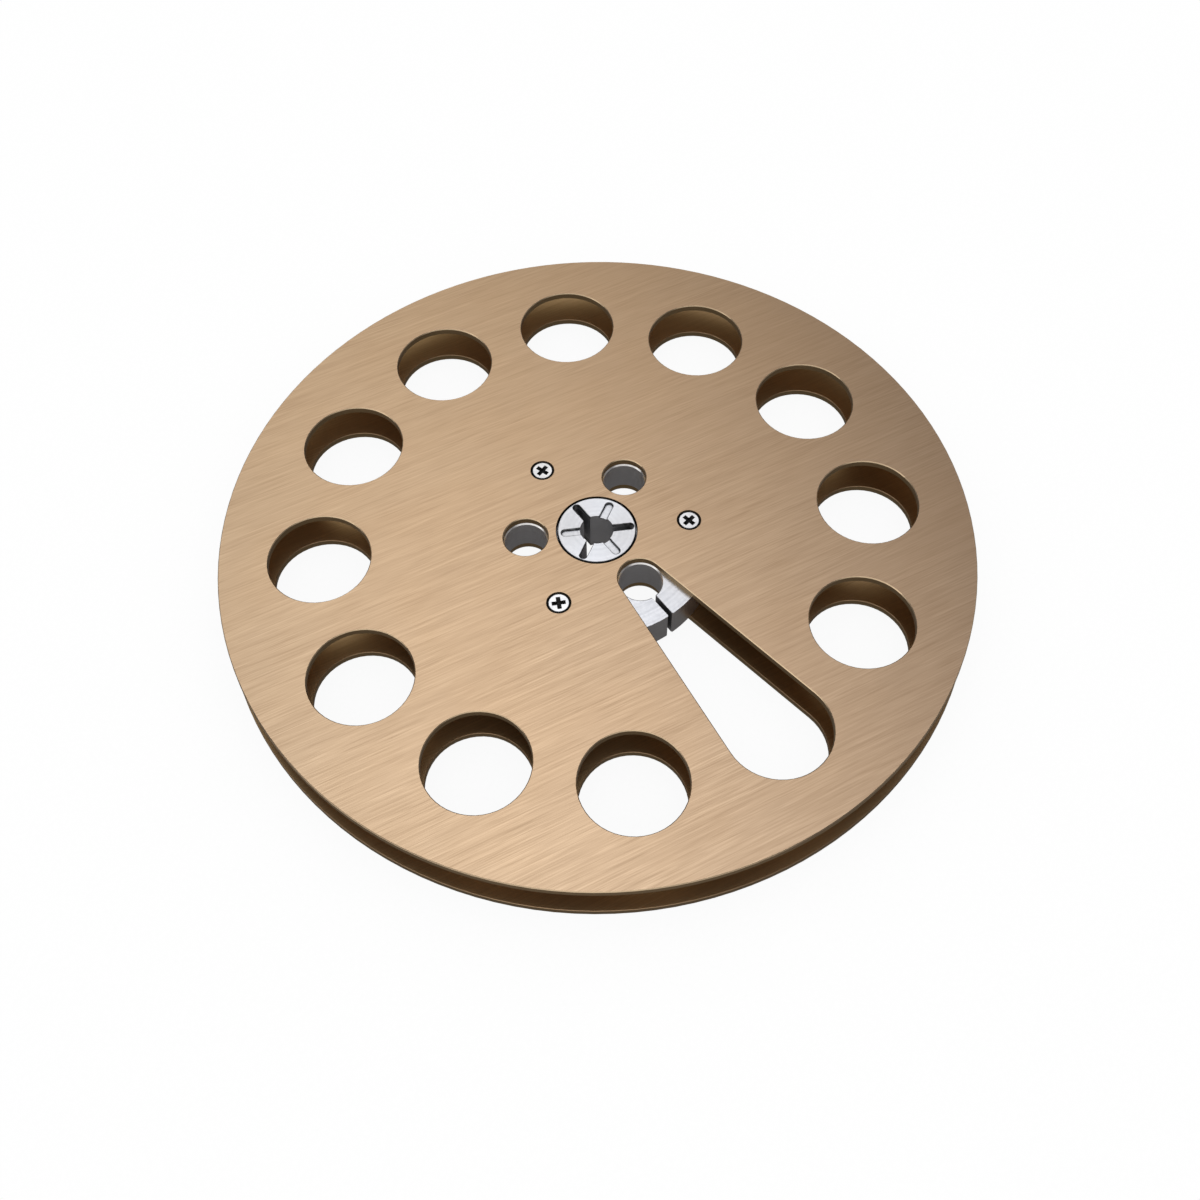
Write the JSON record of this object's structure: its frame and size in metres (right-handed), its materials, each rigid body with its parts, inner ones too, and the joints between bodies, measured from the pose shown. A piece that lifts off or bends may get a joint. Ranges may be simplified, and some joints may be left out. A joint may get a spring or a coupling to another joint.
{
  "type": "open-reel tape reel",
  "caption": "Flat metal reel for quarter-inch magnetic tape: gold flanges with round holes and a threading slot, screwed to a silver hub with a keyed spindle bore.",
  "frame": {"origin": "on the spindle axis, in the outer face of the lower flange, so the reel stands on z = 0", "axes": "+Z is the spindle axis, up through the upper flange; the threading slot runs out from the hub along -Y"},
  "size_m": [0.178, 0.178, 0.012],
  "materials": {
    "gold_anodised": "straight-line brushed and anodised champagne gold",
    "silver_aluminium": "machined, clear satin",
    "plated_steel": "bright zinc-nickel plate"
  },
  "bodies": {
    "root": {"upper_flange": "gold_anodised", "lower_flange": "gold_anodised", "hub": "silver_aluminium", "upper_screw_1": "plated_steel", "upper_screw_2": "plated_steel", "upper_screw_3": "plated_steel", "lower_screw_1": "plated_steel", "lower_screw_2": "plated_steel", "lower_screw_3": "plated_steel"}
  },
  "joints": []
}
